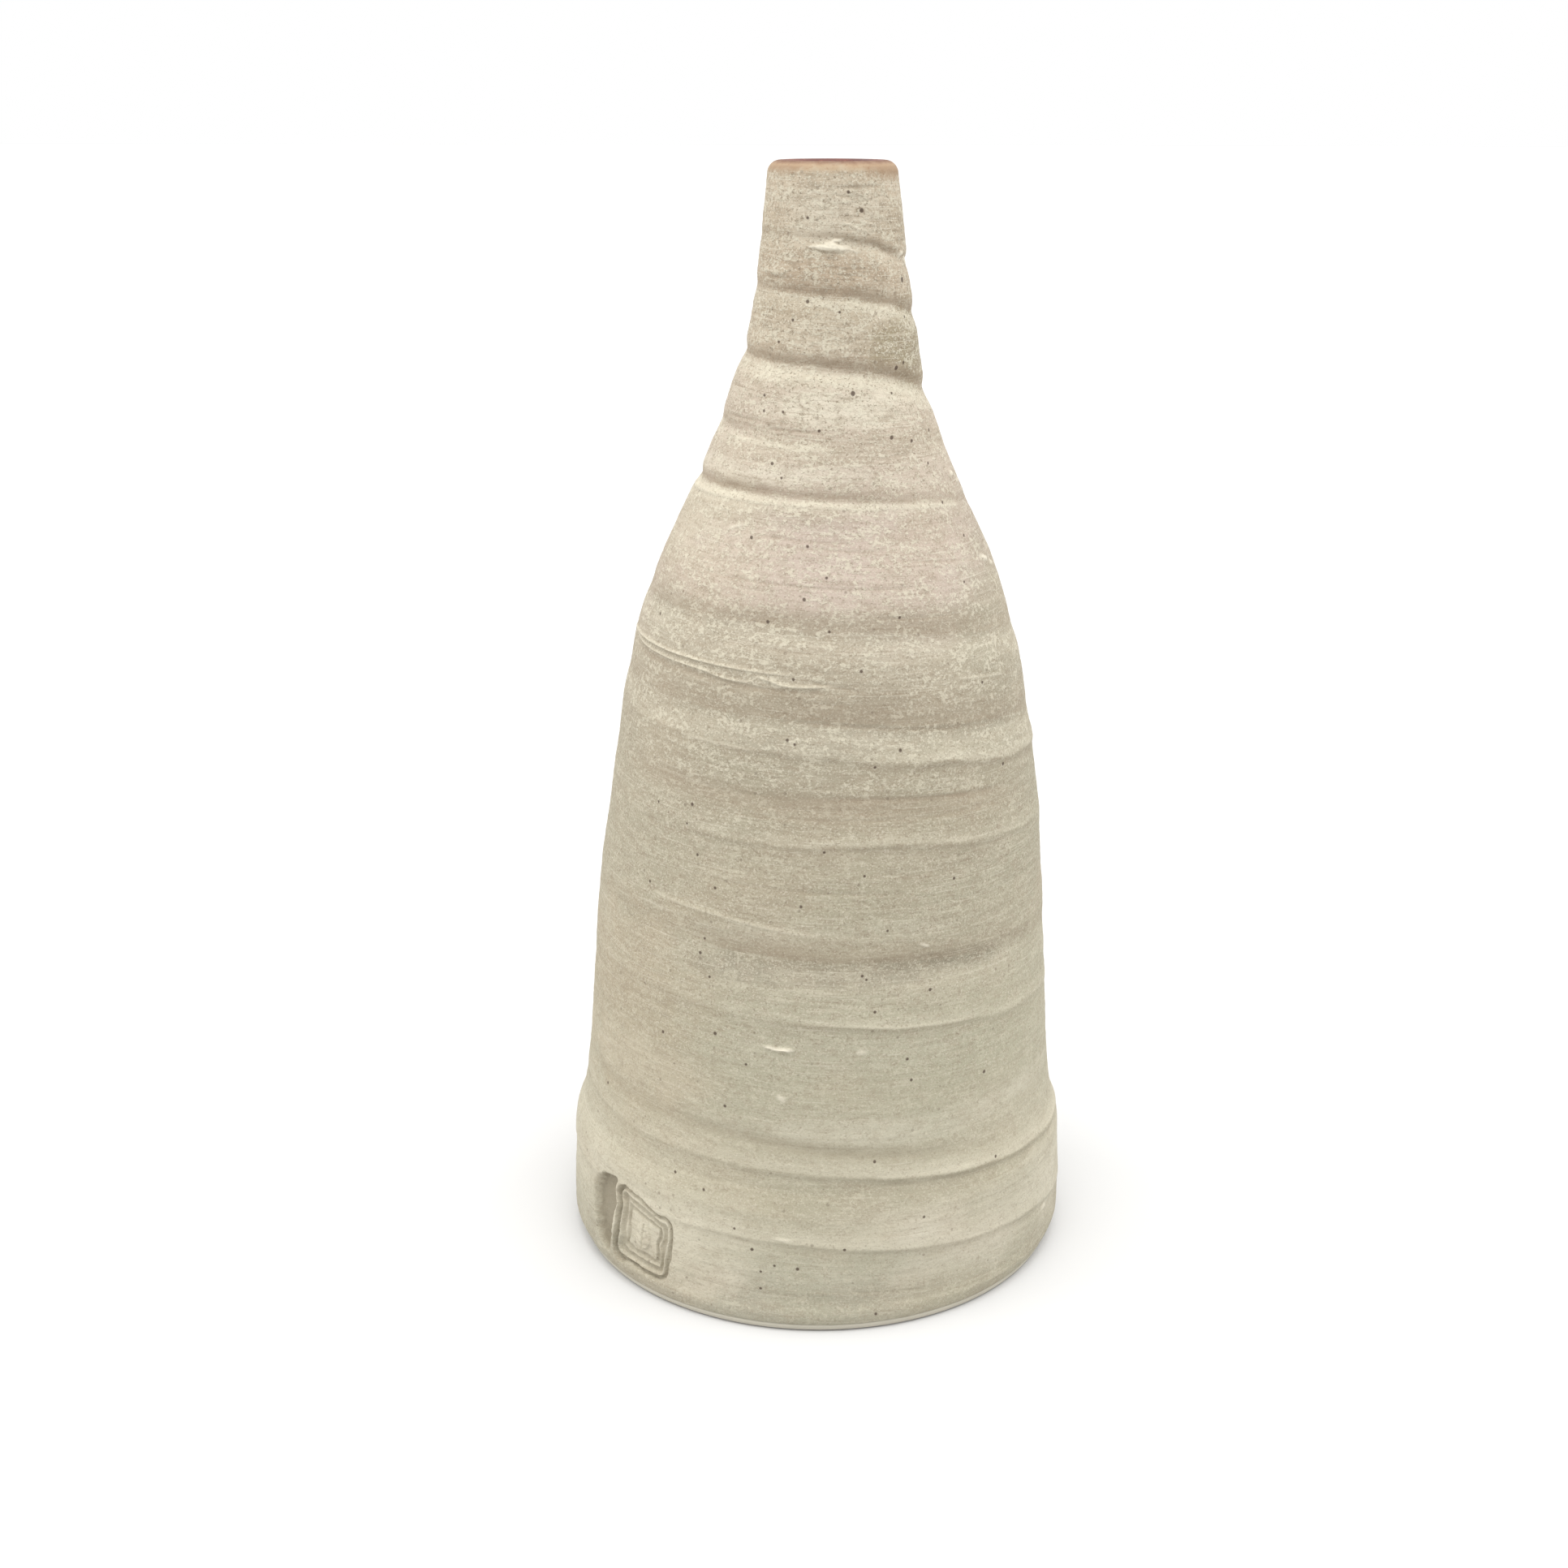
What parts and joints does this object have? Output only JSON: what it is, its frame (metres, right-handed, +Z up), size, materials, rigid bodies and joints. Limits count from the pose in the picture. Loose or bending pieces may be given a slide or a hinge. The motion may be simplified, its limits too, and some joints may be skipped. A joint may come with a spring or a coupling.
{
  "type": "stoneware pottery vase",
  "caption": "Tall wheel-thrown bottle vase: wide cylindrical foot, tapering belly and a narrow neck with a rounded lip, matte speckled glaze.",
  "frame": {"origin": "centre of the flat foot, on the surface that the vase stands on", "axes": "+Z up along the vase's axis of rotation, -Y towards the front; the pressed seal is on the front left at 47 degrees from -Y towards -X"},
  "size_m": [0.1046, 0.1046, 0.22],
  "materials": {
    "clay_body": "bare speckled stoneware clay, dry and slightly gritty",
    "toasted_clay": "bare clay toasted orange-brown by the kiln, dry",
    "matte_glaze": "dry matte oatmeal glaze with dark iron specks",
    "liner_glaze": "dark maroon-brown liner glaze, satin gloss"
  },
  "bodies": {
    "root": {"base_section": "clay_body", "belly_section": "clay_body", "shoulder_section": "clay_body", "neck_section": "clay_body", "lip_ring": "toasted_clay", "outer_glaze": "matte_glaze", "liner_glaze": "liner_glaze"}
  },
  "joints": []
}
